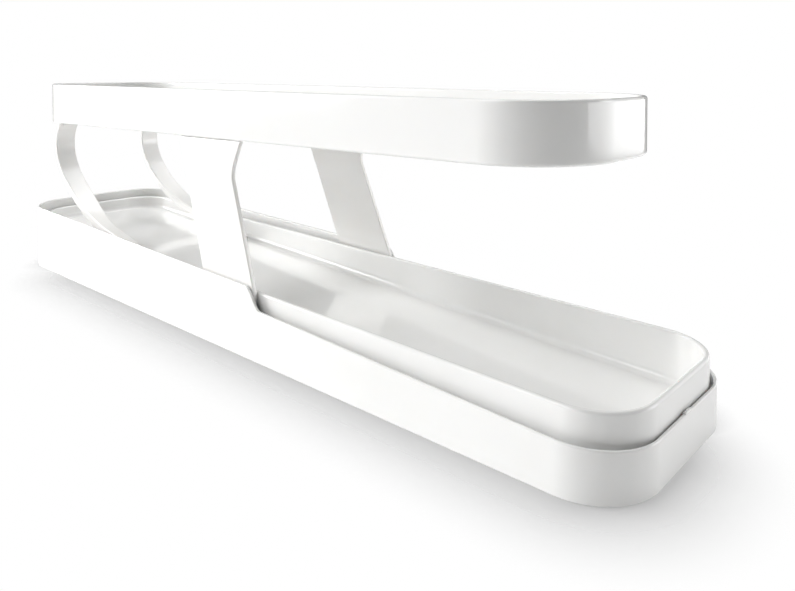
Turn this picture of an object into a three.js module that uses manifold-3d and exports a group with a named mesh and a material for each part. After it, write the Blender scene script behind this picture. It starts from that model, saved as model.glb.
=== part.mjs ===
// Egg dispenser: a white plastic rack of two trays, one above the other, standing in a low base tray.
// Millimetres. +X points to the front, where the food is taken, +Y to the far side and +Z up.
// The origin lies on the shelf, under the middle of the base tray.
import * as THREE from 'three';
import { mergeVertices } from 'three/addons/utils/BufferGeometryUtils.js';
import Module from 'manifold-3d';

const { degToRad, lerp, mapLinear, smoothstep } = THREE.MathUtils;
const wasm = await Module();
wasm.setup();

// Gap kept between pieces that touch, and the overrun of every cutting body
const seatGap = 0.3;
const overrun = 5;

// Base tray
const baseLength = 380;
const baseWidth = 85;
const baseCorner = 21.5;
const baseWall = 1.2;
const baseFloor = 2.2;
const baseEdge = 0.7;
const baseFillet = 0.5;
const baseRimRear = 35.6;
const baseRimCheek = 29.8;
const baseRimLow = 21.2;
const baseRimFront = 15.2;
const cheekLap = 3.5;
const cheekStep = 9;

// Catch in the middle of the base tray's front rim
const catchWidth = 5;
const catchRadius = 0.6;
const catchRise = 0.5;

// Foot pads, let into the underside of the base tray
const padRadius = 6;
const padThickness = 1.5;
const padProud = 0.3;
const padEndInset = 32;
const padSideInset = 18;

// Lower tray, whose floor is the ramp to the front
const trayRearPlay = 3.1;
const trayFrontPlay = 0.4;
const trayCorner = 20;
const trayWall = 2;
const trayFloor = 2;
const trayEdge = 1.2;
const trayFillet = 3;
const trayRimRear = 31;
const trayRimFront = 24.2;
const rampRear = 24;
const rampFront = 5.2;
const rampRib = 1.6;
const rampRibCount = 6;

// Upper tray, whose floor falls to the drop opening at the rear
const upperRearSetback = 6.6;
const upperFrontSetback = 19.9;
const upperOverhang = 0.1;
const upperCorner = 30.2;
const upperWall = 2;
const upperFloor = 2;
const upperFillet = 3;
const upperEdge = 1.2;
const upperRim = 107.8;
const upperSideRear = 22.5;
const upperSideFront = 19.6;

// Drop opening: a wide bay, and a narrower bay behind it between the two rear guides
const dropRearInset = 25.4;
const dropLength = 46;
const dropWidth = 62;
const dropCorner = 6;
const pocketInset = 6.5;
const pocketWidth = 33;
const pocketCorner = 5;

// Side supports: straps that stand between the base tray's wall and the lower tray's, and lean in above
const supportCentre = 15.8;
const supportWidth = 35.2;
const supportThickness = 1.9;
const supportLean = degToRad(21.9);
const supportTopInset = 1;
const flareStart = 19;
const flareKnee = 14.8;
const flareEnd = 8.6;
const flareOut = 5.2;
const flareLift = 1.4;
const socketRib = 1.6;
const socketHeight = 13;

// Snap tongues at the top of each side support
const tongueThickness = 1.8;
const tongueWidth = 9;
const tongueSpacing = 20;
const tongueRoot = 8;
const tongueRise = 4;
const tongueHook = 1;
const hookHeight = 1.6;

// Rear guides: a pair of curved strips from the upper tray down to the ramp
const guideSideInset = 4.2;
const guideWidth = 11;
const guideFootWidth = 6.5;
const guideTopInset = 19.4;
const guideRun = 94;
const guideThin = 2;
const guideThick = 4.4;
const guideTabWidth = 9;
const guideTabRise = 1.6;
const guideBead = 1;
const guideSteps = 40;
const guideTaperSteps = 10;

// The guide's middle line: a Bezier curve from its top to its foot, as shares of its run and of its height
const guideLineShares = [[0, 1], [-0.35, 0.5], [0.67, -0.02], [0.43, 0.2], [1, 0]];
// Where along that line the guide fills out, and where it thins again towards its foot
const guideFillShares = [0.18, 0.5];
const guideThinShares = [0.8, 1];
// Where along its run the guide narrows to the width of its foot
const guideTaperShares = [0.12, 0.64];

// How finely round shapes are divided
const cornerSteps = 8;
const rimSteps = 4;
const filletSteps = 3;
const cheekSteps = 6;
const flareSteps = 6;
const padSteps = 24;

// Places that follow from the sizes
const baseRear = -baseLength / 2;
const baseFront = baseLength / 2;
const baseTop = padProud + baseFloor;
const trayRear = baseRear + baseWall + trayRearPlay;
const trayFront = baseFront - baseWall - trayFrontPlay;
const supportOuter = baseWidth / 2 - baseWall - seatGap;
const rackHalf = supportOuter - supportThickness - seatGap;
const upperHalf = rackHalf + upperOverhang;
const trayBottom = baseTop + seatGap;
const upperRear = baseRear + upperRearSetback;
const upperFront = baseFront - upperFrontSetback;
const cheekFront = supportCentre + supportWidth / 2 - cheekLap;

// Heights that slope along the length
const trayRim = (x) => mapLinear(x, trayRear, trayFront, trayRimRear, trayRimFront);
const ramp = (x) => mapLinear(x, trayRear, trayFront, rampRear, rampFront);
const upperBottom = (x) => upperRim - mapLinear(x, upperRear, upperFront, upperSideRear, upperSideFront);

// The base rim runs high beside the side supports, then steps down to a low front
function baseRim(x) {
  const high = mapLinear(x, baseRear, cheekFront, baseRimRear, baseRimCheek);
  const low = mapLinear(x, cheekFront + cheekStep, baseFront, baseRimLow, baseRimFront);
  return lerp(high, low, smoothstep(x, cheekFront, cheekFront + cheekStep));
}

// A closed geometry as a solid for cutting and joining
function solidOf(geometry) {
  const bare = geometry.clone();
  bare.deleteAttribute('normal');
  bare.deleteAttribute('uv');
  const merged = mergeVertices(bare);
  const vertProperties = new Float32Array(merged.attributes.position.array);
  const triVerts = new Uint32Array(merged.index.array);
  return new wasm.Manifold(new wasm.Mesh({ numProp: 3, vertProperties, triVerts }));
}

// A solid back as a geometry
function geometryOf(solid) {
  const mesh = solid.getMesh();
  const geometry = new THREE.BufferGeometry();
  geometry.setAttribute('position', new THREE.BufferAttribute(new Float32Array(mesh.vertProperties), 3));
  geometry.setIndex(new THREE.BufferAttribute(new Uint32Array(mesh.triVerts), 1));
  geometry.computeVertexNormals();
  return geometry;
}

// A block between two corners, in any order
function block(x0, x1, y0, y1, z0, z1) {
  const geometry = new THREE.BoxGeometry(Math.abs(x1 - x0), Math.abs(y1 - y0), Math.abs(z1 - z0));
  geometry.translate((x0 + x1) / 2, (y0 + y1) / 2, (z0 + z1) / 2);
  return solidOf(geometry);
}

// Outline of a rounded rectangle, anticlockwise from above, with stops along both long sides
function trayOutline(rear, front, half, corner, stops) {
  const centres = [
    [front - corner, half - corner], [rear + corner, half - corner],
    [rear + corner, corner - half], [front - corner, corner - half],
  ];
  const points = [];
  centres.forEach(([x, y], quarter) => {
    for (let i = 0; i <= cornerSteps; i += 1) {
      const angle = (quarter + i / cornerSteps) * Math.PI / 2;
      points.push([x + corner * Math.cos(angle), y + corner * Math.sin(angle)]);
    }
    const forwards = quarter === 2;
    if (quarter === 0 || forwards) {
      const along = forwards ? stops : [...stops].reverse();
      along.forEach((stop) => points.push([stop, forwards ? -half : half]));
    }
  });
  return points;
}

// A closed body through rings: each ring is the outline drawn in by an inset, at heights along its length.
// The first ring is closed off underneath and the last one on top.
function loft(rear, front, half, corner, stops, rings) {
  const outlines = rings.map(({ inset, height }) => trayOutline(
    rear + inset, front - inset, half - inset, corner - inset, stops,
  ).map(([x, y]) => [x, y, height(x)]));
  const count = outlines[0].length;
  const middle = (rear + front) / 2;
  const ends = [rings[0], rings[rings.length - 1]].map(({ height }) => [middle, 0, height(middle)]);
  const index = [];
  const at = (ring, i) => ring * count + i % count;
  const underside = rings.length * count;
  for (let i = 0; i < count; i += 1) {
    for (let ring = 0; ring + 1 < rings.length; ring += 1) {
      index.push(at(ring, i), at(ring, i + 1), at(ring + 1, i + 1));
      index.push(at(ring, i), at(ring + 1, i + 1), at(ring + 1, i));
    }
    index.push(underside, at(0, i + 1), at(0, i));
    index.push(underside + 1, at(rings.length - 1, i), at(rings.length - 1, i + 1));
  }
  const geometry = new THREE.BufferGeometry();
  const positions = [...outlines.flat(), ...ends].flat();
  geometry.setAttribute('position', new THREE.Float32BufferAttribute(positions, 3));
  geometry.setIndex(index);
  return solidOf(geometry);
}

// Rings of an outer bottom edge rounded by a radius
function bottomRings(radius, bottom) {
  const rings = [];
  for (let i = 0; i <= filletSteps; i += 1) {
    const angle = i / filletSteps * Math.PI / 2;
    rings.push({
      inset: radius * (1 - Math.sin(angle)),
      height: (x) => bottom(x) + radius * (1 - Math.cos(angle)),
    });
  }
  return rings;
}

// Rings over a wall's fully rounded rim, and down inside to a floor with a fillet
function rimAndFloorRings(wall, rim, fillet, floor) {
  const rings = [];
  const radius = wall / 2;
  for (let i = 0; i <= rimSteps; i += 1) {
    const angle = i / rimSteps * Math.PI;
    rings.push({
      inset: radius * (1 - Math.cos(angle)),
      height: (x) => rim(x) - radius * (1 - Math.sin(angle)),
    });
  }
  for (let i = 0; i <= filletSteps; i += 1) {
    const angle = i / filletSteps * Math.PI / 2;
    rings.push({
      inset: wall + fillet * (1 - Math.cos(angle)),
      height: (x) => floor(x) + fillet * (1 - Math.sin(angle)),
    });
  }
  return rings;
}

// An upright cutter with rounded corners
function roundedCutter(x0, x1, width, corner, bottom, top) {
  const half = width / 2;
  const shape = new THREE.Shape();
  shape.moveTo(x1, 0);
  shape.lineTo(x1, half - corner);
  shape.absarc(x1 - corner, half - corner, corner, 0, Math.PI / 2);
  shape.absarc(x0 + corner, half - corner, corner, Math.PI / 2, Math.PI);
  shape.absarc(x0 + corner, corner - half, corner, Math.PI, Math.PI * 3 / 2);
  shape.absarc(x1 - corner, corner - half, corner, Math.PI * 3 / 2, Math.PI * 2);
  shape.closePath();
  const options = { depth: top - bottom, bevelEnabled: false, curveSegments: cornerSteps };
  const geometry = new THREE.ExtrudeGeometry(shape, options);
  geometry.translate(0, 0, bottom);
  return solidOf(geometry);
}

// A plate standing in the X-Z plane: its outline, and the span that it fills across Y
function plate(shape, yLow, yHigh, segments) {
  const options = { depth: yHigh - yLow, bevelEnabled: false, curveSegments: segments };
  const geometry = new THREE.ExtrudeGeometry(shape, options);
  geometry.rotateX(Math.PI / 2);
  geometry.translate(0, yHigh, 0);
  return solidOf(geometry);
}

// The four places of the foot pads
function padPlaces() {
  const x = baseLength / 2 - padEndInset;
  const y = baseWidth / 2 - padSideInset;
  return [
    ['rear_near', -x, -y], ['rear_far', -x, y],
    ['front_near', x, -y], ['front_far', x, y],
  ];
}

// Base tray: low pan with a sloping rim, a catch at the front and sockets for the pads
function makeBaseTray() {
  const stops = [];
  for (let i = 0; i <= cheekSteps; i += 1) {
    stops.push(cheekFront + cheekStep * i / cheekSteps);
  }
  const rings = [
    ...bottomRings(baseEdge, () => padProud),
    ...rimAndFloorRings(baseWall, baseRim, baseFillet, () => baseTop),
  ];
  let solid = loft(baseRear, baseFront, baseWidth / 2, baseCorner, stops, rings);
  const bead = new THREE.CylinderGeometry(catchRadius, catchRadius, catchWidth, cornerSteps);
  bead.translate(baseFront - catchRadius, 0, baseRim(baseFront) + catchRise - catchRadius);
  solid = solid.add(solidOf(bead));
  const socketTop = padThickness + seatGap;
  padPlaces().forEach(([, x, y]) => {
    const radius = padRadius + seatGap;
    const socket = new THREE.CylinderGeometry(radius, radius, socketTop + overrun, padSteps);
    socket.rotateX(Math.PI / 2);
    socket.translate(x, y, (socketTop - overrun) / 2);
    solid = solid.subtract(solidOf(socket));
  });
  // A rib on each side of a support's foot keeps it in its place
  [-1, 1].forEach((side) => {
    [-1, 1].forEach((end) => {
      const near = supportCentre + end * (supportWidth / 2 + seatGap);
      solid = solid.add(block(
        near, near + end * socketRib,
        side * (rackHalf + seatGap), side * (baseWidth / 2 - baseWall / 2),
        baseTop - baseFloor / 2, baseTop + socketHeight,
      ));
    });
  });
  return solid;
}

// One foot pad: a low disc with a chamfered rim
function makePad(x, y) {
  const chamfer = padProud / 2;
  const profile = [
    [0, 0], [padRadius - chamfer, 0], [padRadius, chamfer], [padRadius, padThickness], [0, padThickness],
  ];
  const geometry = new THREE.LatheGeometry(profile.map(([r, z]) => new THREE.Vector2(r, z)), padSteps);
  geometry.rotateX(Math.PI / 2);
  geometry.translate(x, y, 0);
  return solidOf(geometry);
}

// Lower tray: wall with an even sloping rim, the ramp floor and ribs beneath it
function makeLowerTray() {
  const rings = [
    ...bottomRings(trayEdge, () => trayBottom),
    ...rimAndFloorRings(trayWall, trayRim, trayFillet, ramp),
  ];
  const solid = loft(trayRear, trayFront, rackHalf, trayCorner, [], rings);
  let hollow = loft(trayRear, trayFront, rackHalf, trayCorner, [], [
    { inset: trayWall, height: () => trayBottom - overrun },
    { inset: trayWall, height: (x) => ramp(x) - trayFloor },
  ]);
  for (let i = 1; i <= rampRibCount; i += 1) {
    const x = lerp(trayRear, trayFront, i / (rampRibCount + 1));
    hollow = hollow.subtract(block(
      x - rampRib / 2, x + rampRib / 2, -rackHalf, rackHalf, trayBottom - overrun * 2, trayRimRear,
    ));
  }
  return solid.subtract(hollow);
}

// Upper tray: wall with a level rim, falling floor, the drop opening and the slots of what hangs below
function makeUpperTray() {
  const rings = [
    ...bottomRings(upperEdge, upperBottom),
    ...rimAndFloorRings(upperWall, () => upperRim, upperFillet, (x) => upperBottom(x) + upperFloor),
  ];
  let solid = loft(upperRear, upperFront, upperHalf, upperCorner, [], rings);
  const low = upperBottom(upperRear) - overrun;
  const high = upperRim - upperSideFront + upperFloor + overrun;
  const dropRear = upperRear + dropRearInset;
  const bay = roundedCutter(dropRear, dropRear + dropLength, dropWidth, dropCorner, low, high);
  const pocket = roundedCutter(
    upperRear + pocketInset, dropRear + dropLength / 2, pocketWidth, pocketCorner, low, high,
  );
  solid = solid.subtract(bay).subtract(pocket);
  [-1, 1].forEach((side) => {
    tonguePlaces().forEach((x) => {
      const half = tongueWidth / 2 + seatGap;
      solid = solid.subtract(block(
        x - half, x + half,
        side * (tongueInner() - seatGap), side * (upperHalf - upperWall), low, high,
      ));
    });
    const slot = guideThin / 2 + seatGap;
    solid = solid.subtract(block(
      guideTopX() - slot, guideTopX() + slot,
      side * (guideInnerY() - seatGap), side * (guideInnerY() + guideTabWidth + seatGap), low, high,
    ));
  });
  return solid;
}

// Where the side supports meet the upper tray
function tongueInner() {
  return upperHalf - upperWall - seatGap - tongueThickness;
}

function supportEdge(z, end) {
  const rimZ = trayRim(supportCentre);
  return supportCentre + end * supportWidth / 2 - (z - rimZ) * Math.tan(supportLean);
}

function tonguePlaces() {
  const z = upperBottom(supportCentre);
  const middle = (supportEdge(z, -1) + supportEdge(z, 1) + flareOut) / 2;
  return [middle - tongueSpacing / 2, middle + tongueSpacing / 2];
}

// A strap through rows, each with a rear and a front point; it leans in from the tray's rim upwards
function strap(rows, side) {
  const rimZ = trayRim(supportCentre);
  const topZ = upperBottom(supportCentre);
  const leaningIn = (z) => mapLinear(z, rimZ, topZ, supportOuter, upperHalf - supportTopInset);
  const outerAt = (z) => (z < rimZ ? supportOuter : leaningIn(z));
  const positions = rows.flatMap(([[xr, zr], [xf, zf]]) => {
    const inner = (z) => outerAt(z) - supportThickness;
    const ring = [[xr, outerAt(zr), zr], [xf, outerAt(zf), zf], [xf, inner(zf), zf], [xr, inner(zr), zr]];
    const turned = side < 0 ? ring : ring.reverse();
    return turned.flatMap(([x, y, z]) => [x, side * y, z]);
  });
  const index = [];
  rows.slice(1).forEach((_, row) => {
    for (let i = 0; i < 4; i += 1) {
      const low = [row * 4 + i, row * 4 + (i + 1) % 4];
      const high = [low[0] + 4, low[1] + 4];
      index.push(low[0], low[1], high[1], low[0], high[1], high[0]);
    }
  });
  const last = (rows.length - 1) * 4;
  index.push(0, 2, 1, 0, 3, 2, last, last + 1, last + 2, last, last + 2, last + 3);
  const geometry = new THREE.BufferGeometry();
  geometry.setAttribute('position', new THREE.Float32BufferAttribute(positions, 3));
  geometry.setIndex(index);
  return solidOf(geometry);
}

// Side support: it stands on the base tray's floor, leans back and in, and flares forward at its top
function makeSupport(side) {
  const under = upperBottom(supportCentre);
  const rimZ = trayRim(supportCentre);
  const topX = supportEdge(under - flareKnee, 1) + flareOut;
  const top = (x) => upperBottom(x) - seatGap;
  const start = new THREE.Vector2(supportEdge(under - flareStart, 1), under - flareStart);
  const knee = new THREE.Vector2(supportEdge(under - flareKnee, 1) - flareLift / 2, under - flareKnee);
  const tip = new THREE.Vector2(topX, top(topX));
  const slope = (tip.x - knee.x) / (tip.y - knee.y);
  const end = new THREE.Vector2(tip.x - (flareEnd - seatGap) * slope, under - flareEnd);
  const bend = new THREE.QuadraticBezierCurve(start, knee, end);
  const front = [...bend.getPoints(flareSteps), tip];
  const footZ = baseTop + seatGap;
  const rearX = supportEdge(under, -1);
  const rows = [
    [[supportEdge(rimZ, -1), footZ], [supportEdge(rimZ, 1), footZ]],
    [[supportEdge(rimZ, -1), rimZ], [supportEdge(rimZ, 1), rimZ]],
    ...front.slice(0, -1).map(({ x, y: z }) => [[supportEdge(z, -1), z], [x, z]]),
    [[rearX, top(rearX)], [tip.x, tip.y]],
  ];
  let solid = strap(rows, side);
  // Each tongue stands through the upper tray's floor and hooks over it
  const tongueOuter = upperHalf - upperWall - seatGap;
  const rootOuter = upperHalf - supportTopInset - supportThickness / 2;
  tonguePlaces().forEach((x) => {
    const floorTop = upperBottom(x) + upperFloor;
    const root = upperBottom(x) - seatGap - tongueRoot;
    const hookLow = upperBottom(x - tongueWidth) + upperFloor + seatGap;
    const ends = [x - tongueWidth / 2, x + tongueWidth / 2];
    solid = solid.add(block(
      ends[0] + seatGap, ends[1] - seatGap,
      side * (tongueInner() + seatGap), side * rootOuter, root + seatGap, upperBottom(x) - seatGap * 2,
    ));
    solid = solid.add(block(
      ...ends, side * tongueInner(), side * tongueOuter, root, floorTop + tongueRise,
    ));
    solid = solid.add(block(
      ...ends, side * (tongueInner() - tongueHook), side * tongueOuter, hookLow, hookLow + hookHeight,
    ));
  });
  return solid;
}

// Where the rear guides hang
function guideTopX() {
  return upperRear + guideTopInset;
}

function guideOuterY() {
  return upperHalf - upperWall - guideSideInset;
}

function guideInnerY() {
  return guideOuterY() - guideWidth;
}

// A Bezier curve through its first and last point: the points are drawn together in pairs until one is left
class BezierLine extends THREE.Curve {
  constructor(points) {
    super();
    this.points = points;
  }

  getPoint(place) {
    let points = this.points;
    while (points.length > 1) {
      const held = points;
      points = held.slice(1).map((point, i) => held[i].clone().lerp(point, place));
    }
    return points[0];
  }
}

// How thick the guide is at a place along its line
function guideThicknessAt(place) {
  const filled = smoothstep(place, ...guideFillShares) * (1 - smoothstep(place, ...guideThinShares));
  return lerp(guideThin, guideThick, filled);
}

// Cutter that narrows the guide from its inner side, seen from above
function guideTaper(side) {
  const [start, end] = guideTaperShares.map((share) => guideTopX() + share * guideRun);
  const beyond = guideTopX() + guideRun + overrun;
  const inside = guideInnerY() - overrun;
  const outline = [];
  for (let i = 0; i <= guideTaperSteps; i += 1) {
    const x = lerp(start, end, i / guideTaperSteps);
    outline.push([x, guideInnerY() + (guideWidth - guideFootWidth) * smoothstep(x, start, end)]);
  }
  outline.push([beyond, guideOuterY() - guideFootWidth], [beyond, inside], [start, inside]);
  const shape = new THREE.Shape(outline.map(([x, y]) => new THREE.Vector2(x, side * y)));
  return solidOf(new THREE.ExtrudeGeometry(shape, { depth: upperRim, bevelEnabled: false }));
}

// Rear guide: a strip that swings back, down and forward on to the ramp, thicker where it lies low
function makeGuide(side) {
  const topX = guideTopX();
  const topZ = upperBottom(topX) - seatGap;
  const footX = topX + guideRun;
  const footZ = ramp(footX) + seatGap + guideThin;
  const line = new BezierLine(guideLineShares.map(([along, up]) => new THREE.Vector2(
    lerp(topX, footX, along), lerp(footZ, topZ, up),
  )));
  const front = [];
  const back = [];
  for (let i = 0; i <= guideSteps; i += 1) {
    const place = i / guideSteps;
    const point = line.getPoint(place);
    const tangent = line.getTangent(place);
    const half = guideThicknessAt(place) / 2;
    front.push([point.x - tangent.y * half, point.y + tangent.x * half]);
    back.push([point.x + tangent.y * half, point.y - tangent.x * half]);
  }
  const shape = new THREE.Shape([...front, ...back.reverse()].map(([x, z]) => new THREE.Vector2(x, z)));
  const span = [side * guideInnerY(), side * guideOuterY()].sort((a, b) => a - b);
  let solid = plate(shape, ...span, 1).subtract(guideTaper(side));
  solid = solid.subtract(block(
    topX - guideThick, topX + guideThick, -upperHalf, upperHalf, topZ, topZ + overrun,
  ));
  // The tab stands through the upper tray's floor, with a bead that rests on it
  const half = guideThin / 2;
  const floorTop = upperBottom(topX) + upperFloor + seatGap;
  const tabTop = floorTop + guideTabRise;
  const tab = [side * guideInnerY(), side * (guideInnerY() + guideTabWidth)];
  solid = solid.add(block(topX - half, topX + half, ...tab, topZ - guideThin, tabTop));
  solid = solid.add(block(topX - half - guideBead, topX + half + guideBead, ...tab, floorTop, tabTop));
  return solid;
}

// Materials
const whitePlastic = { color: 0xf4f4f2, roughness: 0.28, metalness: 0 };
const padRubber = { color: 0xd9d9d6, roughness: 0.8, metalness: 0 };

// A named piece with a material of its own
function piece(name, solid, finish) {
  const mesh = new THREE.Mesh(geometryOf(solid), new THREE.MeshStandardMaterial(finish));
  mesh.name = name;
  return mesh;
}

const dispenser = new THREE.Group();
dispenser.add(piece('base_tray', makeBaseTray(), whitePlastic));
padPlaces().forEach(([place, x, y]) => {
  dispenser.add(piece(`foot_pad_${place}`, makePad(x, y), padRubber));
});
dispenser.add(piece('lower_ramp_tray', makeLowerTray(), whitePlastic));
dispenser.add(piece('upper_ramp_tray', makeUpperTray(), whitePlastic));
[['near', -1], ['far', 1]].forEach(([place, side]) => {
  dispenser.add(piece(`side_support_${place}`, makeSupport(side), whitePlastic));
  dispenser.add(piece(`rear_guide_${place}`, makeGuide(side), whitePlastic));
});

export default dispenser;
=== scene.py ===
# %% [markdown]
# # A two-tier egg dispenser in white plastic
#
# The object is a small rack for the refrigerator shelf. A low base tray carries a ramped lower
# tray. Two side supports and two curved rear guides join that to a level upper tray. All that
# shows is moulded in glossy white plastic, so the whole look rests on three things: true
# outlines, softly rounded edges, and light.
#
# The measured model is loaded first, as a fixed frame. Each plain solid in it is then replaced by
# a finer piece of the same size in the same place. The overall length, width and height are read
# from that frame, so the finer pieces never drift away from the measured ones. They are rounded
# to a tenth of a millimetre, because a mesh stores its numbers with a little noise.

# %% Load the measured model
import math

import bmesh
import bpy
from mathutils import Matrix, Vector


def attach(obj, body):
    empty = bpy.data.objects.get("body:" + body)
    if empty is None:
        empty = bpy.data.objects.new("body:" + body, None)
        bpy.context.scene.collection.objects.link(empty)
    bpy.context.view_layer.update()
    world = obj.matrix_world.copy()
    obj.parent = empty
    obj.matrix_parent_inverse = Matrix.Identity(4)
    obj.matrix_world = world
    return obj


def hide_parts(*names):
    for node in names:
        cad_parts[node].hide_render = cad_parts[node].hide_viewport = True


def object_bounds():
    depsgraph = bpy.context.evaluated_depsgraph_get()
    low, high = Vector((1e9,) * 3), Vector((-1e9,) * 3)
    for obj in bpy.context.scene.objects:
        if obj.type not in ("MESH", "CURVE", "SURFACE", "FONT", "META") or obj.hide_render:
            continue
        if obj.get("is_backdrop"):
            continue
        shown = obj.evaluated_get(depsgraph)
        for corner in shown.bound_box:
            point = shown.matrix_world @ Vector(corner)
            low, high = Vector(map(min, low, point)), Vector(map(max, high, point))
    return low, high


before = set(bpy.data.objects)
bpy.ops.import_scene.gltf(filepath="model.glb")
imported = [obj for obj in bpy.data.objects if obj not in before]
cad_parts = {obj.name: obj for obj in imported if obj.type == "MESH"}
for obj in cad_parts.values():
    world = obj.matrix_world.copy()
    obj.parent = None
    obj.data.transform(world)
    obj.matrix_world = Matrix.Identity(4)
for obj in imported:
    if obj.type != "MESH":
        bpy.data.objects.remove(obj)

mm = 0.001
cad_box = [list(corner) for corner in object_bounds()]
lowest, highest = [[round(value, 4) for value in corner] for corner in cad_box]


def in_mm(lengths):
    """Lengths as rounded millimetres, for the printed notes."""
    return [round(length / mm, 1) for length in lengths]


print("measured box in mm:", [in_mm(corner) for corner in cad_box])

# %% [markdown]
# ## Camera
#
# In the photograph every upright edge stays upright, so its camera was held almost level, and the
# view was moved down by a shift or a crop. Its horizon lies near the top edge of the picture. A
# strongly tipped camera would make the uprights lean together. So this camera is tipped by less
# than two degrees, and `shift_y` does the rest.

# %% Camera at the photograph's viewing angle
photo_width, photo_height = 795, 591
focal_px, centre_px = 718.1, 90
tip_degrees, turn_degrees = 1.73, 41.97

camera_data = bpy.data.cameras.new("camera")
camera_data.sensor_width = 36
camera_data.lens = focal_px / photo_width * camera_data.sensor_width
camera_data.shift_y = -(photo_height / 2 - centre_px) / photo_width
camera_data.clip_start = 10 * mm
camera = bpy.data.objects.new("camera", camera_data)
camera.location = (265.9 * mm, -213.6 * mm, 116.9 * mm)
camera.rotation_euler = (math.radians(90 - tip_degrees), 0, math.radians(turn_degrees))
bpy.context.collection.objects.link(camera)
bpy.context.scene.camera = camera
print("lens", round(camera_data.lens, 2), "mm, shift", round(camera_data.shift_y, 4))

# %% [markdown]
# ## Working in edit mode
#
# The pieces below are made as one would make them by hand: a primitive, a few edit-mode
# operators, a modifier. An operator acts on whatever is selected, so each step first selects
# exactly what it needs. These small helpers do the selecting, and keep the later cells short
# enough to read.

# %% Helpers for selecting and editing
hair = 0.01 * mm


def same(one, other):
    """Whether two coordinates are the same to within a hair."""
    return abs(one - other) < hair


def only(piece):
    """Makes one object the selected and active one."""
    bpy.ops.object.select_all(action="DESELECT")
    piece.select_set(True)
    bpy.context.view_layer.objects.active = piece


def edit(piece):
    """Opens one object in edit mode."""
    only(piece)
    bpy.ops.object.mode_set(mode="EDIT")


def done():
    """Leaves edit mode."""
    bpy.ops.object.mode_set(mode="OBJECT")


def pick(piece, kind, test):
    """In edit mode, selects the VERT, EDGE or FACE elements that pass a test, and no others."""
    bpy.ops.mesh.select_mode(type=kind)
    bpy.ops.mesh.select_all(action="DESELECT")
    mesh = bmesh.from_edit_mesh(piece.data)
    elements = {"VERT": mesh.verts, "EDGE": mesh.edges, "FACE": mesh.faces}[kind]
    chosen = [element for element in elements if test(element)]
    for element in chosen:
        element.select_set(True)
    mesh.select_flush_mode()
    bmesh.update_edit_mesh(piece.data)
    return len(chosen)


def extrude(x, y, z):
    """In edit mode, extrudes what is selected, and moves the new end."""
    bpy.ops.mesh.extrude_region_move(TRANSFORM_OT_translate={"value": (x, y, z)})


def bevel(offset, segments):
    """In edit mode, rounds the selected edges. A profile of 0.5 makes each an arc of a circle."""
    bpy.ops.mesh.bevel(offset=offset, segments=segments, profile=0.5, affect="EDGES")


def settle(piece):
    """Moves an object's place, turn and size into its mesh."""
    only(piece)
    bpy.ops.object.transform_apply(location=True, rotation=True, scale=True)


def combine(piece, tool, operation):
    """Cuts a tool out of a piece, or joins it on, with a Boolean, and removes the tool."""
    only(piece)
    modifier = piece.modifiers.new(operation.lower(), "BOOLEAN")
    modifier.operation = operation
    modifier.solver = "EXACT"
    modifier.object = tool
    bpy.ops.object.modifier_apply(modifier=modifier.name)
    bpy.data.objects.remove(tool)
    return len(piece.data.polygons)


print("helpers ready")

# %% [markdown]
# ## Tray blanks
#
# All three trays start from the same blank: a block with four rounded upright corners. On the
# real mould the corner is one clean arc, and a bevel of the upright edges gives just that. A
# sloping top or floor is a bisect with a tilted plane. The inside is a second, smaller blank that
# is cut away, and its own bevelled lower edge becomes the soft fillet between wall and floor.
#
# An outline is four lengths: where the tray starts and ends, half its width, and the radius of
# its corners.

# %% Blanks, slanted cuts and edge rounding


def box_block(name, x, y, z):
    """A plain block between pairs of coordinates along each axis."""
    middle = [sum(pair) / 2 for pair in (x, y, z)]
    size = [abs(pair[1] - pair[0]) for pair in (x, y, z)]
    bpy.ops.object.select_all(action="DESELECT")
    bpy.ops.mesh.primitive_cube_add(size=1, location=middle, scale=size)
    block = bpy.context.active_object
    block.name = name
    settle(block)
    return block


def is_upright(edge):
    """Whether an edge stands straight up."""
    low, high = (vertex.co for vertex in edge.verts)
    return (high.xy - low.xy).length < hair


def blank(name, outline, bottom, top, steps=24):
    """A block with rounded upright corners: the start of a tray, and of each cutter for one."""
    rear, front, half, corner = outline
    block = box_block(name, (rear, front), (-half, half), (bottom, top))
    edit(block)
    pick(block, "EDGE", is_upright)
    bevel(corner, steps)
    done()
    return block


def moved_in(outline, wall):
    """An outline moved in by a wall's thickness on every side."""
    rear, front, half, corner = outline
    return rear + wall, front - wall, half - wall, corner - wall


def slope(rear, rear_height, front, front_height):
    """A height that runs evenly from one end to the other."""
    return lambda x: rear_height + (front_height - rear_height) * (x - rear) / (front - rear)


def slice_off(piece, height, above):
    """Bisects a piece along a sloping height, drops what lies above or below, and closes it."""
    point = Vector((0, 0, height(0)))
    along = Vector((1, 0, height(1) - height(0)))
    upward = Vector((-along.z, 0, along.x)).normalized()
    outward = upward if above else -upward
    edit(piece)
    bpy.ops.mesh.select_all(action="SELECT")
    bpy.ops.mesh.bisect(plane_co=point, plane_no=outward, use_fill=True, clear_outer=True)
    done()


def round_cut(piece, height, radius, steps):
    """Rounds the loop of edges that lies on a sloping height."""
    edit(piece)
    pick(piece, "EDGE", lambda edge: all(same(v.co.z, height(v.co.x)) for v in edge.verts))
    bevel(radius, steps)
    done()


def round_rim(piece, height, wall):
    """Rounds both edges of a wall's top until they almost meet, so that the rim is a bead."""
    close, almost_half = 0.06 * mm, 0.47

    def on_rim(face):
        level = all(abs(v.co.z - height(v.co.x)) < close for v in face.verts)
        return face.normal.z > 0.3 and level

    edit(piece)
    count = pick(piece, "FACE", on_rim)
    bpy.ops.mesh.region_to_loop()
    bevel(wall * almost_half, segments=5)
    done()
    return count


print("a blank, a cut and a rounded rim are enough for every tray")

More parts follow.
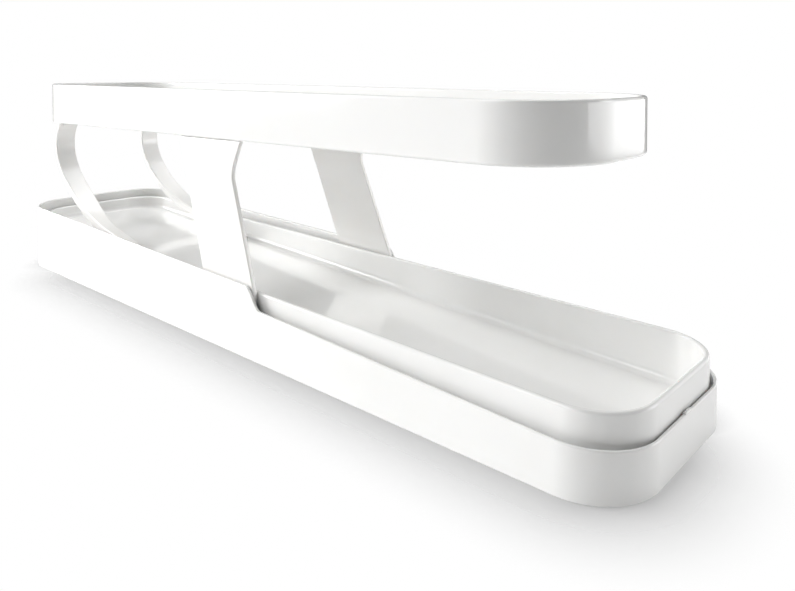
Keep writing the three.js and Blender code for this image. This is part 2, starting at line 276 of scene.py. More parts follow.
# %% [markdown]
# ## Smooth shading on flat walls
#
# A moulded wall is flat, yet its edge is round. If the flat face and the narrow round strip
# beside it share plain averaged normals, the flat face seems to bulge. The Weighted Normal
# modifier lets the large face win, so the walls stay flat in reflections, and only the strip
# turns.

# %% Finishing a piece
sharp_degrees = 32
pull_of_large_faces = 80


def finish(piece, name, body, nodes, material):
    """Shades a piece, gives it its material, and puts it in place of its plain solids."""
    piece.name = piece.data.name = name
    only(piece)
    bpy.ops.object.shade_smooth_by_angle(angle=math.radians(sharp_degrees))
    weighted = piece.modifiers.new("flat walls", "WEIGHTED_NORMAL")
    weighted.keep_sharp = True
    weighted.weight = pull_of_large_faces
    bpy.ops.object.modifier_apply(modifier=weighted.name)
    piece.data.materials.clear()
    piece.data.materials.append(material)
    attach(piece, body)
    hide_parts(*nodes)
    print(name, "has", len(piece.data.polygons), "faces")


# %% [markdown]
# ## Moulded white plastic
#
# Polished moulded plastic isn't one flat colour. Its surface carries a very faint waviness from
# the way that it shrinks in the mould, and a finer grain from the mould's own polish. Handling
# leaves light smudges, which dull the gloss and the tone a little. All three come from noise at
# different scales. They sit in one node group, with its sizes as inputs, so each material can
# have its own amounts. The group only gives out a colour, a roughness and a height. The shader
# itself, with its slight translucency, stays in the material.
#
# Three helpers come first. They add a node, and give its inputs plain values or join them up.

# %% Helpers for shader nodes


def fill(tree, node, inputs):
    """Gives each named input of a node a plain value, or joins it to another node's output."""
    for name, value in inputs.items():
        if isinstance(value, bpy.types.NodeSocket):
            tree.links.new(value, node.inputs[name])
        else:
            node.inputs[name].default_value = value


def add_node(tree, kind, inputs=None, **settings):
    """Adds a shader node with its settings, and fills its inputs."""
    node = tree.nodes.new("ShaderNode" + kind)
    for setting, value in settings.items():
        setattr(node, setting, value)
    fill(tree, node, inputs or {})
    return node


def maths(tree, operation, first, second):
    """The number that a maths node makes of two values."""
    node = add_node(tree, "Math", {0: first, 1: second}, operation=operation)
    return node.outputs["Value"]


print("node helpers ready")

# %% A node group for the moulded skin
skin_inputs = (
    ("Colour", "NodeSocketColor", (0.86, 0.86, 0.85, 1)),
    ("Shade", "NodeSocketColor", (0.82, 0.82, 0.8, 1)),
    ("Wave Scale", "NodeSocketFloat", 40.0),
    ("Smudge Scale", "NodeSocketFloat", 25.0),
    ("Grain Scale", "NodeSocketFloat", 1800.0),
    ("Gloss Roughness", "NodeSocketFloat", 0.18),
    ("Smudge Roughness", "NodeSocketFloat", 0.3),
)
skin_outputs = (
    ("Colour", "NodeSocketColor"),
    ("Roughness", "NodeSocketFloat"),
    ("Height", "NodeSocketFloat"),
)
smudge_starts, smudge_full = 0.46, 0.74
grain_share = 0.04


def moulded_skin_group():
    """Colour, roughness and height of moulded plastic, from three sizes of noise."""
    group = bpy.data.node_groups.new("moulded_skin", "ShaderNodeTree")
    for name, kind, value in skin_inputs:
        socket = group.interface.new_socket(name, in_out="INPUT", socket_type=kind)
        socket.default_value = value
    for name, kind in skin_outputs:
        group.interface.new_socket(name, in_out="OUTPUT", socket_type=kind)
    given = group.nodes.new("NodeGroupInput").outputs
    place = add_node(group, "TexCoord").outputs["Object"]

    def noise(scale, detail):
        inputs = {"Vector": place, "Scale": given[scale], "Detail": detail}
        return add_node(group, "TexNoise", inputs).outputs["Fac"]

    wave = noise("Wave Scale", detail=1.0)
    smudges = noise("Smudge Scale", detail=4.0)
    grain = noise("Grain Scale", detail=2.0)
    patches = {"Value": smudges, "From Min": smudge_starts, "From Max": smudge_full}
    smudged = add_node(group, "MapRange", patches).outputs["Result"]
    colours = {"Factor": smudged, "A": given["Colour"], "B": given["Shade"]}
    tone = add_node(group, "Mix", colours, data_type="RGBA")
    glosses = {
        "Value": smudged, "To Min": given["Gloss Roughness"], "To Max": given["Smudge Roughness"],
    }
    gloss = add_node(group, "MapRange", glosses)
    height = maths(group, "ADD", wave, maths(group, "MULTIPLY", grain, grain_share))
    fill(group, group.nodes.new("NodeGroupOutput"), {
        "Colour": tone.outputs["Result"], "Roughness": gloss.outputs["Result"], "Height": height,
    })
    return group


skin = moulded_skin_group()
print("node group", skin.name, "with", len(skin.nodes), "nodes")

# %% Materials from the group


def moulded(name, colour, shade, gloss, smudge, bump, glow):
    """A moulded material: two tones, two roughnesses, and amounts of relief and translucency."""
    material = bpy.data.materials.new(name)
    material.use_nodes = True
    tree = material.node_tree
    surface = add_node(tree, "Group", {
        "Colour": (*colour, 1), "Shade": (*shade, 1),
        "Gloss Roughness": gloss, "Smudge Roughness": smudge,
    }, node_tree=skin).outputs
    relief = add_node(tree, "Bump", {
        "Strength": bump, "Distance": 0.3 * mm, "Height": surface["Height"],
    })
    fill(tree, tree.nodes["Principled BSDF"], {
        "Base Color": surface["Colour"],
        "Roughness": surface["Roughness"],
        "Normal": relief.outputs["Normal"],
        "IOR": 1.49,
        "Subsurface Weight": glow,
        "Subsurface Radius": (1.2, 1.0, 0.8),
        "Subsurface Scale": 0.8 * mm,
    })
    return material


tray_plastic = moulded(
    "tray_plastic", (0.86, 0.86, 0.85), (0.83, 0.83, 0.815),
    gloss=0.1, smudge=0.17, bump=0.08, glow=0.06,
)
# The straps and guides are a touch warmer than the trays. That warmth is painted bounce light: a
# faint tint in place of warm light thrown onto them by the food.
strap_plastic = moulded(
    "strap_plastic", (0.86, 0.855, 0.84), (0.83, 0.82, 0.80),
    gloss=0.16, smudge=0.26, bump=0.12, glow=0.1,
)
foot_rubber = moulded(
    "foot_rubber", (0.6, 0.6, 0.58), (0.5, 0.5, 0.48),
    gloss=0.6, smudge=0.75, bump=0.4, glow=0.1,
)
print("materials:", [material.name for material in (tray_plastic, strap_plastic, foot_rubber)])

# %% [markdown]
# ## Base tray
#
# The base is a long pan with a thin wall. Seen from the side its rim is high at the rear, falls
# evenly to the supports, and then drops in a soft S to a low front, so the food can be reached.
# The S can't be made with a bisect, which only knows flat planes. Instead a block is extruded
# forward in short steps, and the lower edge of each step is moved to the rim's line. Cutting this
# block away leaves the S, as a milling cutter would.

# %% The base rim's line
base_rear, base_front, base_half, base_corner = lowest[0], highest[0], highest[1], 21.5 * mm
base_outline = (base_rear, base_front, base_half, base_corner)
base_wall, base_bottom, base_floor = 1.2 * mm, 0.3 * mm, 2.5 * mm
step_rear, step_front, step_parts = 29.9 * mm, 38.9 * mm, 16
high_rim = slope(base_rear, 35.6 * mm, step_rear, 29.8 * mm)
low_rim = slope(step_front, 21.2 * mm, base_front, 15.2 * mm)
overrun = 5 * mm


def eased(value, start, end):
    """Rises smoothly from 0 at the start to 1 at the end."""
    share = min(1, max(0, (value - start) / (end - start)))
    return share * share * (3 - 2 * share)


def base_rim(x):
    """The rim's height: one slope, then a soft step down to the other."""
    share = eased(x, step_rear, step_front)
    return high_rim(x) * (1 - share) + low_rim(x) * share


on_step = [step_rear + (step_front - step_rear) * i / step_parts for i in range(step_parts + 1)]
stations = [base_rear - overrun, *on_step, base_front + overrun]
print("rim heights in mm:", in_mm(base_rim(x) for x in stations[::3]))

# %% A cutter that follows the rim, and the open pan
spare_top, well_past = 45 * mm, 60 * mm
base_edge, base_fillet = 0.7 * mm, 0.5 * mm


def rim_cutter(height, places, half, top):
    """A block whose underside follows a line, extruded forward from place to place."""
    cutter = box_block("rim_cutter", places[:2], (-half, half), (height(places[0]), top))
    edit(cutter)
    for before, here in zip(places, places[1:]):
        if before != places[0]:
            pick(cutter, "FACE", lambda face: all(same(v.co.x, before) for v in face.verts))
            extrude(here - before, 0, 0)
        pick(cutter, "VERT", lambda v: same(v.co.x, here) and v.co.z < top - hair)
        bpy.ops.transform.translate(value=(0, 0, height(here) - height(before)))
    done()
    return cutter


base_tray = blank("base_tray_fine", base_outline, base_bottom, spare_top)
round_cut(base_tray, lambda x: base_bottom, base_edge, steps=4)
combine(base_tray, rim_cutter(base_rim, stations, well_past, well_past), "DIFFERENCE")
hollow = blank("hollow", moved_in(base_outline, base_wall), base_floor, well_past)
round_cut(hollow, lambda x: base_floor, base_fillet, steps=2)
print("open pan:", combine(base_tray, hollow, "DIFFERENCE"), "faces")

# %% [markdown]
# The wall's top is a ring of narrow faces. Selecting them and turning the region into its loop
# picks both the outer and the inner edge of the rim at once, and one bevel rounds them. A small
# bead lies in the middle of the front rim. It is a tipped cylinder, sunk into the wall.

# %% Rim and bead
print("rim faces rounded:", round_rim(base_tray, base_rim, base_wall))

bead_radius, bead_length, bead_proud, bead_end = 0.6 * mm, 5 * mm, 0.5 * mm, 0.3 * mm
bpy.ops.object.select_all(action="DESELECT")
bpy.ops.mesh.primitive_cylinder_add(
    vertices=24, radius=bead_radius, depth=bead_length, rotation=(math.radians(90), 0, 0),
    location=(base_front - bead_radius, 0, base_rim(base_front) + bead_proud - bead_radius),
)
bead = bpy.context.active_object
settle(bead)
edit(bead)
pick(bead, "EDGE", lambda edge: same(edge.verts[0].co.y, edge.verts[1].co.y))
bevel(bead_end, segments=3)
done()
print("with its bead:", combine(base_tray, bead, "UNION"), "faces")

# %% [markdown]
# Two hidden features follow. Four shallow round sockets under the base hold its foot pads. Two
# ribs on each side, between the base's wall and the lower tray's, make a socket for the foot of a
# side support.

# %% Pad sockets and the ribs beside the supports


def disc(name, x, y, low, high, radius):
    """A flat round block between two heights."""
    bpy.ops.object.select_all(action="DESELECT")
    bpy.ops.mesh.primitive_cylinder_add(
        vertices=48, radius=radius, depth=high - low, location=(x, y, (low + high) / 2),
    )
    piece = bpy.context.active_object
    piece.name = name
    settle(piece)
    return piece


pad_x, pad_y = 158 * mm, 24.5 * mm
socket_radius, socket_top = 6.3 * mm, 1.8 * mm
pad_places = {
    "rear_near": (-pad_x, -pad_y), "rear_far": (-pad_x, pad_y),
    "front_near": (pad_x, -pad_y), "front_far": (pad_x, pad_y),
}
for x, y in pad_places.values():
    combine(base_tray, disc("socket", x, y, -overrun, socket_top, socket_radius), "DIFFERENCE")

support_centre, support_width, support_thickness = 15.8 * mm, 35.2 * mm, 1.9 * mm
support_outer, rack_half = 41 * mm, 38.8 * mm
play = 0.3 * mm
rib_width, rib_foot, rib_top = 1.6 * mm, 1.4 * mm, 15.5 * mm
for side in (-1, 1):
    rib_y = sorted((side * (rack_half + play), side * (base_half - base_wall / 2)))
    for end in (-1, 1):
        beside = support_centre + end * (support_width / 2 + play)
        rib_x = sorted((beside, beside + end * rib_width))
        combine(base_tray, box_block("rib", rib_x, rib_y, (rib_foot, rib_top)), "UNION")
finish(base_tray, "base_tray_moulding", "base", ["base_tray"], tray_plastic)

# %% [markdown]
# ## Foot pads
#
# Four soft pads keep the rack from sliding. Each is a low disc with a worn, rounded lower edge
# and a shallow dimple, made by insetting the lower face and pushing it up a little. One is
# modelled, and the four in the sockets are copies, each with its own mesh.

# %% Foot pads


def copy_of(piece, move=(0, 0, 0), mirrored=False):
    """Copies a piece with its own mesh, and moves it or mirrors it to the far side."""
    only(piece)
    bpy.ops.object.duplicate()
    copy = bpy.context.active_object
    copy.location = move
    copy.scale = (1, -1 if mirrored else 1, 1)
    settle(copy)
    edit(copy)
    bpy.ops.mesh.select_all(action="SELECT")
    bpy.ops.mesh.normals_make_consistent(inside=False)
    done()
    return copy


pad_height, pad_radius = 1.5 * mm, 6 * mm
dimple_edge, dimple_depth, worn_edge = 2.2 * mm, 0.25 * mm, 0.2 * mm
pad = disc("pad", 0, 0, 0, pad_height, pad_radius)
edit(pad)
pick(pad, "FACE", lambda face: face.normal.z < -0.9)
bpy.ops.mesh.inset(thickness=dimple_edge)
bpy.ops.transform.translate(value=(0, 0, dimple_depth))
pick(pad, "EDGE", lambda edge: all(same(vertex.co.z, 0) for vertex in edge.verts))
bevel(worn_edge, segments=3)
done()
for place, (x, y) in pad_places.items():
    node = f"foot_pad_{place}"
    finish(copy_of(pad, (x, y, 0)), f"{node}_soft", "base", [node], foot_rubber)
bpy.data.objects.remove(pad)

# %% [markdown]
# ## Lower tray
#
# The lower tray carries its ramp between two straight walls. The ramp falls almost three times as
# fast as the rim, so the channel is shallow at the rear and deep at the front, where the food
# comes to rest. Both lines are plain slopes, which makes this tray easier than the base: one
# bisect for the rim, and one for the underside of the cutter that hollows it. From below a second
# cutter leaves only a thin ramp. Slots in that cutter leave six ribs, which keep the ramp stiff.

# %% Lower tray
lower_rear, lower_front, lower_corner = base_rear + 4.3 * mm, base_front - 1.6 * mm, 20 * mm
lower_outline = (lower_rear, lower_front, rack_half, lower_corner)
lower_wall, lower_bottom = 2 * mm, 2.8 * mm
tray_edge, tray_fillet = 1.2 * mm, 3 * mm
far_below, far_above = 30 * mm, 160 * mm
lower_rim = slope(lower_rear, 31 * mm, lower_front, 24.2 * mm)
ramp = slope(lower_rear, 24 * mm, lower_front, 5.2 * mm)

lower_tray = blank("lower_tray_fine", lower_outline, lower_bottom, spare_top)
round_cut(lower_tray, lambda x: lower_bottom, tray_edge, steps=4)
slice_off(lower_tray, lower_rim, above=True)


def inner_cutter(outline, wall, floor):
    """The space inside a tray, its lower edge rounded into the fillet of wall and floor."""
    front = outline[1]
    cutter = blank("space", moved_in(outline, wall), floor(front) - far_below, far_above)
    slice_off(cutter, floor, above=False)
    round_cut(cutter, floor, tray_fillet, steps=6)
    return cutter


inside = inner_cutter(lower_outline, lower_wall, ramp)
print("open tray:", combine(lower_tray, inside, "DIFFERENCE"), "faces")

# %% The ramp's underside and the lower rim
ramp_thickness, rib_count, rib_half = 2 * mm, 6, 0.8 * mm
rib_y, rib_z = (-well_past, well_past), (-20 * mm, well_past)
under = blank("under", moved_in(lower_outline, lower_wall), -overrun, well_past)
slice_off(under, lambda x: ramp(x) - ramp_thickness, above=True)
for i in range(1, rib_count + 1):
    x = lower_rear + (lower_front - lower_rear) * i / (rib_count + 1)
    rib = box_block("rib", (x - rib_half, x + rib_half), rib_y, rib_z)
    combine(under, rib, "DIFFERENCE")
combine(lower_tray, under, "DIFFERENCE")
print("rim faces rounded:", round_rim(lower_tray, lower_rim, lower_wall))
finish(
    lower_tray, "lower_tray_moulding", "lower_rack", ["lower_ramp_tray"],
    tray_plastic,
)

# %% [markdown]
# ## Upper tray
#
# The upper tray has tighter round ends and a level rim, while its floor falls a little to the
# rear, where the food drops through. The opening is a wide bay with a narrower pocket behind it,
# between the two guides. Small slots beside the walls take the tongues of the side supports, and
# two more at the rear take the guides.

# %% Upper tray
upper_rear, upper_front = base_rear + 6.6 * mm, base_front - 19.9 * mm
upper_half, upper_corner = 38.9 * mm, 30.2 * mm
upper_outline = (upper_rear, upper_front, upper_half, upper_corner)
upper_wall, upper_skin, upper_top = 2 * mm, 2 * mm, highest[2]
upper_under = slope(upper_rear, upper_top - 22.5 * mm, upper_front, upper_top - 19.6 * mm)
spare_bottom = 60 * mm


def upper_floor(x):
    """The height of the upper tray's floor, where the food rolls."""
    return upper_under(x) + upper_skin


upper_tray = blank("upper_tray_fine", upper_outline, spare_bottom, upper_top, steps=32)
slice_off(upper_tray, upper_under, above=False)
round_cut(upper_tray, upper_under, tray_edge, steps=4)
inside = inner_cutter(upper_outline, upper_wall, upper_floor)
combine(upper_tray, inside, "DIFFERENCE")
print("rim faces rounded:", round_rim(upper_tray, lambda x: upper_top, upper_wall))

# %% The drop opening
bay_rear = upper_rear + 25.4 * mm
bay_front, bay_half, bay_corner = bay_rear + 46 * mm, 31 * mm, 6 * mm
pocket_rear, pocket_front = upper_rear + 6.5 * mm, bay_rear + 23 * mm
pocket_half, pocket_corner = 16.5 * mm, 5 * mm
opening_top, opening_edge, sharp = 95 * mm, 0.6 * mm, math.radians(60)
bay_outline = (bay_rear, bay_front, bay_half, bay_corner)
pocket_outline = (pocket_rear, pocket_front, pocket_half, pocket_corner)
bay = blank("bay", bay_outline, spare_bottom, opening_top, steps=12)
combine(bay, blank("pocket", pocket_outline, spare_bottom, opening_top, steps=12), "UNION")
combine(upper_tray, bay, "DIFFERENCE")


def on_opening(edge):
    """A sharp edge of the floor's opening, on its upper or its lower face."""
    margin, close = 0.2 * mm, 0.05 * mm
    for vertex in edge.verts:
        x, y, z = vertex.co
        within = pocket_rear - margin < x < bay_front + margin and abs(y) < bay_half + margin
        level = min(abs(z - upper_under(x)), abs(z - upper_floor(x))) < close
        if not (within and level):
            return False
    return len(edge.link_faces) == 2 and edge.calc_face_angle(0) > sharp


edit(upper_tray)
print("edges of the opening:", pick(upper_tray, "EDGE", on_opening))
bevel(opening_edge, segments=4)
done()

# %% [markdown]
# The slots follow the pieces that pass through them. So the lean of the side supports is worked
# out first, and with it the places of the snap tongues on their top edge.

# %% Slots for the supports and the guides
support_lean = math.tan(math.radians(21.9))
rim_at_support = lower_rim(support_centre)
top_at_support = upper_under(support_centre)
flare_out = 5.2 * mm


def support_edge(z, end):
    """Where a side support's rear (-1) or front (1) edge runs, at a height."""
    return support_centre + end * support_width / 2 - (z - rim_at_support) * support_lean


top_edges = [support_edge(top_at_support, end) for end in (-1, 1)]
tongue_middle = (top_edges[0] + top_edges[1] + flare_out) / 2
tongue_spacing, tongue_width, tongue_thickness = 20 * mm, 9 * mm, 1.8 * mm
tongues = [tongue_middle - tongue_spacing / 2, tongue_middle + tongue_spacing / 2]
inner_half = upper_half - upper_wall
tongue_outer = inner_half - play
tongue_inner = tongue_outer - tongue_thickness
guide_outer = inner_half - 4.2 * mm
guide_inner = guide_outer - 11 * mm
guide_top = upper_rear + 19.4 * mm
tab_width, tab_half = 9 * mm, 1 * mm
tab_outer = guide_inner + tab_width
slot_z = (70 * mm, 96 * mm)


def cut_slot(x, half_length, inner, outer, side):
    """Cuts a slot through the upper floor, on the near (-1) or the far (1) side."""
    y_range = sorted((side * inner, side * outer))
    slot = box_block("slot", (x - half_length, x + half_length), y_range, slot_z)
    combine(upper_tray, slot, "DIFFERENCE")


for side in (-1, 1):
    for x in tongues:
        cut_slot(x, tongue_width / 2 + play, tongue_inner - play, inner_half, side)
    cut_slot(guide_top, tab_half + play, guide_inner - play, tab_outer + play, side)
finish(
    upper_tray, "upper_tray_moulding", "upper_rack", ["upper_ramp_tray"],
    tray_plastic,
)

# %% [markdown]
# ## Side supports
#
# Each support is one flat strap. Its foot stands upright between the walls of the base and the
# lower tray. Above the rim it leans back, and a little in, and its front edge swings forward
# under the upper tray. Building it row by row follows how it bends: the top face is extruded to
# the next height, and its front corners are moved on.

# %% The strap's rows
bend_start, bend_knee, bend_end = 19 * mm, 14.8 * mm, 8.6 * mm
knee_back, tip_to_end, bend_steps = 0.7 * mm, 8.3 * mm, 10


def bend_points(start, knee, end, steps):
    """Points of a smooth bend from one point to another, drawn towards a knee."""
    points = []
    for i in range(steps + 1):
        t = i / steps
        points.append(start * (1 - t) ** 2 + knee * 2 * t * (1 - t) + end * t * t)
    return points


def support_rows():
    """Rows up the strap: the rear corner's height and place, the front one's place and height."""
    start_z, knee_z = top_at_support - bend_start, top_at_support - bend_knee
    tip_x = support_edge(knee_z, 1) + flare_out
    tip = Vector((tip_x, upper_under(tip_x) - play))
    start = Vector((support_edge(start_z, 1), start_z))
    knee = Vector((support_edge(knee_z, 1) - knee_back, knee_z))
    lean = (tip.x - knee.x) / (tip.y - knee.y)
    end = Vector((tip.x - tip_to_end * lean, top_at_support - bend_end))
    rows = [(z, support_edge(z, -1), x, z) for x, z in bend_points(start, knee, end, bend_steps)]
    rear_x = support_edge(top_at_support, -1)
    rows.append((upper_under(rear_x) - play, rear_x, tip.x, tip.y))
    return rows


print("rows up the strap at mm:", in_mm(row[0] for row in support_rows()))

# %% The strap, raised row by row
strap_foot, strap_edge = 2.8 * mm, 0.45 * mm
strap_top_outer = upper_half - 1 * mm
front_dip = 1.5 * mm


def outer_y(z):
    """How far out the strap's outer face lies: upright in the base, leaning in above."""
    share = max(0, (z - rim_at_support) / (top_at_support - rim_at_support))
    return support_outer + (strap_top_outer - support_outer) * share


def rise_to(strap, row, before):
    """Extrudes the strap's top to the next row, and moves its front corners to their place."""
    rear_z, rear_x, front_x, front_z = row
    old_rear_z, old_rear_x, old_front_x, old_front_z = before
    forward, up = rear_x - old_rear_x, rear_z - old_rear_z
    below = old_rear_z - front_dip
    pick(strap, "FACE", lambda face: face.normal.z > 0.7 and face.verts[0].co.z > below)
    extrude(forward, outer_y(old_rear_z) - outer_y(rear_z), up)
    x, z = old_front_x + forward, old_front_z + up
    pick(strap, "VERT", lambda v: same(v.co.x, x) and same(v.co.z, z))
    bpy.ops.transform.translate(value=(front_x - x, 0, front_z - z))


def soften(piece, radius):
    """Rounds every sharp edge of a piece a little, as a mould does."""
    only(piece)
    soft = piece.modifiers.new("soft edges", "BEVEL")
    soft.width = radius
    soft.segments = 3
    soft.limit_method = "ANGLE"
    soft.angle_limit = math.radians(50)
    bpy.ops.object.modifier_apply(modifier=soft.name)


rear, front = support_edge(rim_at_support, -1), support_edge(rim_at_support, 1)
thickness_y = (-support_outer, -support_outer + support_thickness)
strap = box_block("strap", (rear, front), thickness_y, (strap_foot, rim_at_support))
edit(strap)
before = (rim_at_support, rear, front, rim_at_support)
for row in support_rows():
    rise_to(strap, row, before)
    before = row
done()
soften(strap, strap_edge)
print("strap:", len(strap.data.polygons), "faces")

# %% [markdown]
# Two snap tongues stand on the strap's top edge. They pass through slots in the upper tray's
# floor and hook over it, so the whole rack clips together without a screw. Each is three plain
# blocks joined on with a Boolean: a root that runs into the strap, the tongue itself, and its
# hook. The far strap is the near one's mirror image, so only one has to be modelled.

# %% Snap tongues and the mirrored strap
root_outer, root_length, tongue_rise = upper_half - 1.95 * mm, 8 * mm, 4 * mm
hook_reach, hook_height = 1 * mm, 1.6 * mm
root_half, tongue_half, hook_half = 4.2 * mm, tongue_width / 2, 4.48 * mm


def add_tongue(strap, x):
    """A snap tongue that stands through the upper tray's floor, with a small hook over it."""
    foot, root_top = upper_under(x) - play - root_length, upper_under(x) - 2 * play
    hook = upper_under(x - tongue_width) + upper_skin + play
    parts = (
        (tongue_inner + play, root_outer, foot + play, root_top, root_half),
        (tongue_inner, tongue_outer, foot, upper_floor(x) + tongue_rise, tongue_half),
        (tongue_inner - hook_reach, tongue_outer, hook, hook + hook_height, hook_half),
    )
    for inner, outer, bottom, top, half in parts:
        part = box_block("tongue", (x - half, x + half), (-outer, -inner), (bottom, top))
        combine(strap, part, "UNION")


def finish_pair(near, stem, kind):
    """Finishes a near piece of the upper rack, and its mirror image on the far side."""
    far = copy_of(near, mirrored=True)
    for side, piece in (("near", near), ("far", far)):
        node = f"{stem}_{side}"
        finish(piece, f"{node}_{kind}", "upper_rack", [node], strap_plastic)


for x in tongues:
    add_tongue(strap, x)
finish_pair(strap, "side_support", "strap")

# %% [markdown]
# ## Rear guides
#
# The two guides carry the food round the bend, so each is a long curved strip that swings back,
# down and forward. Its line is a Bezier curve: its control points are drawn together in pairs
# until one point is left. The strip starts as one short face, whose end is extruded along that
# line, row by row. Each new edge is scaled about the strip's outer side, which narrows it towards
# its foot. A Solidify modifier then gives the strip its thickness. A vertex group keeps it thin
# where it hangs, and fills it out where it lies low and bears the weight.

# %% The guide's line
line_shares = ((0, 1), (-0.35, 0.5), (0.67, -0.02), (0.43, 0.2), (1, 0))
guide_high = upper_under(guide_top) - play
guide_foot = guide_top + 94 * mm
guide_low = ramp(guide_foot) + 2.3 * mm
run, drop = guide_foot - guide_top, guide_high - guide_low
line = [Vector((guide_top + run * along, guide_low + drop * up)) for along, up in line_shares]


def on_line(share):
    """A point of the guide's line, at a share of the way."""
    points = line
    while len(points) > 1:
        points = [point.lerp(following, share) for point, following in zip(points, points[1:])]
    return points[0]


print("the line runs in mm from", in_mm(on_line(0)), "to", in_mm(on_line(1)))

# %% The strip, laid row by row
rows = 72
places = [on_line(i / rows) for i in range(rows + 1)]
top_width, foot_narrower, narrowing = guide_outer - guide_inner, 4.5 * mm, (0.12, 0.64)
first_face = 1 * mm


def width_at(x):
    """How wide the strip is at a place along its run."""
    return top_width - foot_narrower * eased((x - guide_top) / run, *narrowing)


bpy.ops.object.select_all(action="DESELECT")
bpy.ops.mesh.primitive_plane_add(
    size=1, location=(places[0].x - first_face / 2, -(guide_inner + guide_outer) / 2, places[0].y),
)
strip = bpy.context.active_object
strip.scale = (first_face, top_width, 1)
settle(strip)
edit(strip)
pick(strip, "VERT", lambda vertex: vertex.co.x < places[0].x - first_face / 2)
first_step = places[1] - places[0]
bpy.ops.transform.translate(value=(first_step.x + first_face, 0, first_step.y))
pick(strip, "EDGE", lambda edge: all(same(v.co.z, places[1].y) for v in edge.verts))
for before, after in zip(places[1:], places[2:]):
    extrude(after.x - before.x, 0, after.y - before.y)
    narrower = width_at(after.x) / width_at(before.x)
    bpy.ops.transform.resize(value=(1, narrower, 1), center_override=(0, -guide_outer, 0))
done()
foot_width = width_at(places[-1].x)
print("strip:", len(strip.data.polygons), "rows, and in mm at its foot", in_mm([foot_width]))

# %% The strip's thickness
thin, thick, strip_edge = 2 * mm, 4.4 * mm, 0.6 * mm
filling_out, thinning = (0.18, 0.5), (0.8, 1)


def thickness_at(share):
    """How thick the strip is at a share of the way along its line."""
    return thin + (thick - thin) * eased(share, *filling_out) * (1 - eased(share, *thinning))


weights = strip.vertex_groups.new(name="thickness")
for vertex in strip.data.vertices:
    row = min(range(rows + 1), key=lambda i: (places[i] - vertex.co.xz).length)
    weights.add([vertex.index], thickness_at(row / rows) / thick, "REPLACE")
only(strip)
wall = strip.modifiers.new("thickness", "SOLIDIFY")
wall.thickness = thick
wall.offset = 0
wall.use_even_offset = True
wall.vertex_group = weights.name
bpy.ops.object.modifier_apply(modifier=wall.name)
soften(strip, strip_edge)
slice_off(strip, lambda x: guide_high, above=True)
print("solid strip:", len(strip.data.polygons), "faces")

# %% [markdown]
# The strip hangs by a tab that passes through its slot in the upper floor. The tab's wider head
# has rounded upper edges. It lies just above the floor, so the strip can't drop out.

# %% The tab and the mirrored guide
tab_y = (-tab_outer, -guide_inner)
tab_top = upper_floor(guide_top) + 1.9 * mm
head_half, head_height, head_edge, overlap = 2 * mm, 1.6 * mm, 0.5 * mm, 2 * mm
tab_x, head_x = [(guide_top - half, guide_top + half) for half in (tab_half, head_half)]
combine(strip, box_block("tab", tab_x, tab_y, (guide_high - overlap, tab_top)), "UNION")
head = box_block("head", head_x, tab_y, (tab_top - head_height, tab_top))
edit(head)
pick(head, "EDGE", lambda edge: all(same(vertex.co.z, tab_top) for vertex in edge.verts))
bevel(head_edge, segments=3)
done()
combine(strip, head, "UNION")
finish_pair(strip, "rear_guide", "strip")

# %% [markdown]
# ## Floor
#
# The floor has two looks, which a light path node tells apart. For light that bounces it is plain
# bright paper. For the camera it is only a shadow on white: a soft one at the near side and the
# front end, as in the photograph, and a faint narrow one all round, where the base almost touches
# the paper. Each shadow is worked out from how far a place lies beyond a rounded rectangle.

# %% The floor's paper
paper_radius = 0.9
bpy.ops.object.select_all(action="DESELECT")
bpy.ops.mesh.primitive_circle_add(
    vertices=96, radius=paper_radius, fill_type="NGON", location=(0, 0, 0),
)
floor = bpy.context.active_object
floor.name = "studio_floor"
material = bpy.data.materials.new("studio_paper")
material.use_nodes = True
paper = material.node_tree
camera_ray = add_node(paper, "LightPath").outputs["Is Camera Ray"]
place = add_node(paper, "TexCoord").outputs["Object"]


def vector_maths(operation, *values, output="Vector"):
    """The vector, or the number, that a vector maths node makes of its values."""
    inputs = dict(enumerate(values))
    return add_node(paper, "VectorMath", inputs, operation=operation).outputs[output]


def fade(value, start, end, **settings):
    """One up to the start, nothing beyond the end."""
    inputs = {"Value": value, "From Min": start, "From Max": end, "To Min": 1.0, "To Max": 0.0}
    return add_node(paper, "MapRange", inputs, **settings).outputs["Result"]


def by_ray(light, camera):
    """One value for light that bounces, and another one for what the camera sees."""
    inputs = {"Factor": camera_ray, "A": light, "B": camera}
    return add_node(paper, "Mix", inputs).outputs["Result"]


print("floor", floor.name, "with", len(floor.data.vertices), "corners")

# %% Shadows for the camera
falloff, paper_fades = 1.6, (0.35, 0.85)


def shadow(x_range, y_range, reach, depth):
    """As dark as its depth over a rounded rectangle, then fading out over its reach."""
    middle = (sum(x_range) / 2, sum(y_range) / 2, 0)
    straight = [(high - low) / 2 - base_corner for low, high in (x_range, y_range)] + [0]
    off_middle = vector_maths("ABSOLUTE", vector_maths("SUBTRACT", place, middle))
    beyond = vector_maths("MAXIMUM", vector_maths("SUBTRACT", off_middle, straight), (0, 0, 0))
    distance = vector_maths("LENGTH", beyond, output="Value")
    left = fade(distance, base_corner, base_corner + reach)
    return maths(paper, "MULTIPLY", maths(paper, "POWER", left, falloff), depth)


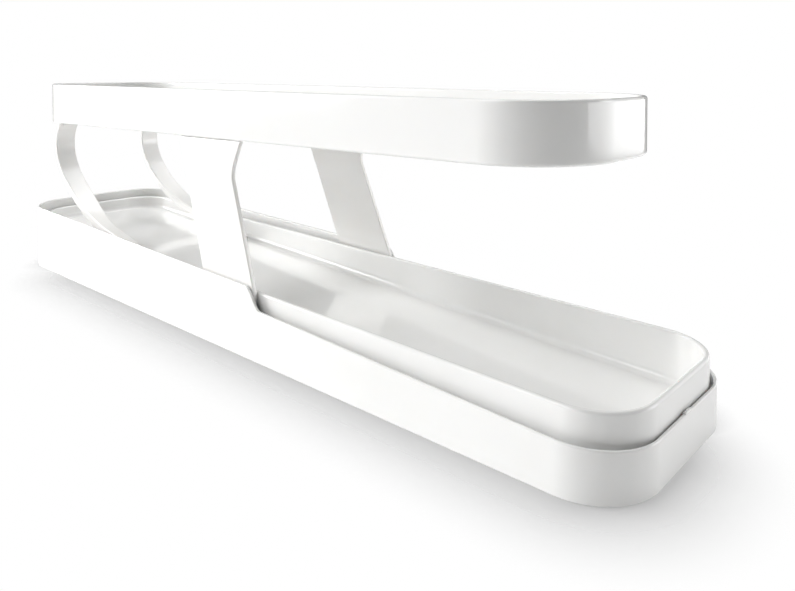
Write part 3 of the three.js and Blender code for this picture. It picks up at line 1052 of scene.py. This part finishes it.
cast = shadow((-150 * mm, base_front), (-base_half, 14 * mm), reach=32 * mm, depth=1.0)
contact = shadow((base_rear, base_front), (-base_half, base_half), reach=10 * mm, depth=0.4)
from_middle = vector_maths("LENGTH", place, output="Value")
paper_end = fade(from_middle, *paper_fades, interpolation_type="SMOOTHERSTEP")
fill(paper, paper.nodes["Principled BSDF"], {
    "Base Color": by_ray(light=0.9, camera=0.25),
    "Alpha": by_ray(light=paper_end, camera=maths(paper, "MAXIMUM", cast, contact)),
    "Roughness": 0.9,
    "Specular IOR Level": 0.1,
    "Emission Color": (1, 1, 1, 1),
    "Emission Strength": by_ray(light=0.1, camera=0.38),
})
floor.data.materials.append(material)
floor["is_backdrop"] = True
print("nodes in the paper:", len(paper.nodes))

# %% [markdown]
# ## Light
#
# White plastic on white only shows its form through light. In the photograph the long near side
# is lit so hard from the left that it burns out to white, while the front end stays a calm light
# grey, and a dark stretch between their lights draws the soft grey band down the front corners.
# So a strong panel stands low at the left and a weaker one hangs high over the near side. Two
# more light the rear. The front end mirrors a long strip and a small soft panel.

# %% Light panels
aim_height = 0.05


def panel(name, place, width, height, watts, aim=(0, 0, aim_height)):
    """A soft rectangular panel that faces the object."""
    data = bpy.data.lights.new(name, "AREA")
    data.shape = "RECTANGLE"
    data.size, data.size_y = width, height
    data.energy = watts
    light = bpy.data.objects.new(name, data)
    light.location = place
    light.rotation_euler = (Vector(aim) - Vector(place)).to_track_quat("-Z", "Y").to_euler()
    bpy.context.collection.objects.link(light)


def round_about(bearing, elevation, distance=1.5):
    """A place round the object. Bearing 0 is in front of the near side, 90 of the low end."""
    turn, rise = math.radians(bearing), math.radians(elevation)
    flat = distance * math.cos(rise)
    height = distance * math.sin(rise) + aim_height
    return flat * math.sin(turn), -flat * math.cos(turn), height


panel("left_low", round_about(-58, 15), 0.8, 0.8, 23)
panel("near_high", round_about(-20, 45), 0.8, 0.8, 10.5)
panel("rear_high", round_about(-150, 65), 1.0, 1.0, 11)
panel("rear_low", round_about(150, 25), 0.8, 0.8, 3)
panel("end_strip", (0.564, 0.453, 0.075), 0.87, 0.12, 1.2, aim=(0.17, 0, 0.075))
panel("end_soft", (0.6, 0.44, 0.25), 0.25, 0.25, 1.15)

# %% [markdown]
# The world is pure white for the camera, as the photograph is round the object. As a light it is
# only a faint fill, because a bright one would wash out the soft greys that the panels draw.

# %% World
faint_fill, pure_white = 0.05, 1.0
world = bpy.data.worlds.new("studio")
bpy.context.scene.world = world
world.use_nodes = True
sky = world.node_tree
seen = add_node(sky, "LightPath").outputs["Is Camera Ray"]
strength = add_node(sky, "MapRange", {"Value": seen, "To Min": faint_fill, "To Max": pure_white})
fill(sky, sky.nodes["Background"], {
    "Color": (1, 1, 1, 1), "Strength": strength.outputs["Result"],
})
bpy.context.scene.view_settings.view_transform = "Standard"
print("world", world.name, "with", len(sky.nodes), "nodes")

# %% [markdown]
# ## Last look at the sizes
#
# The finer pieces must not outgrow the measured model, so the finished box is printed here,
# to set beside the measured box printed at the start.

# %% Sizes and finish
look_box = [list(corner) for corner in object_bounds()]
print("finished box in mm:", [in_mm(corner) for corner in look_box])
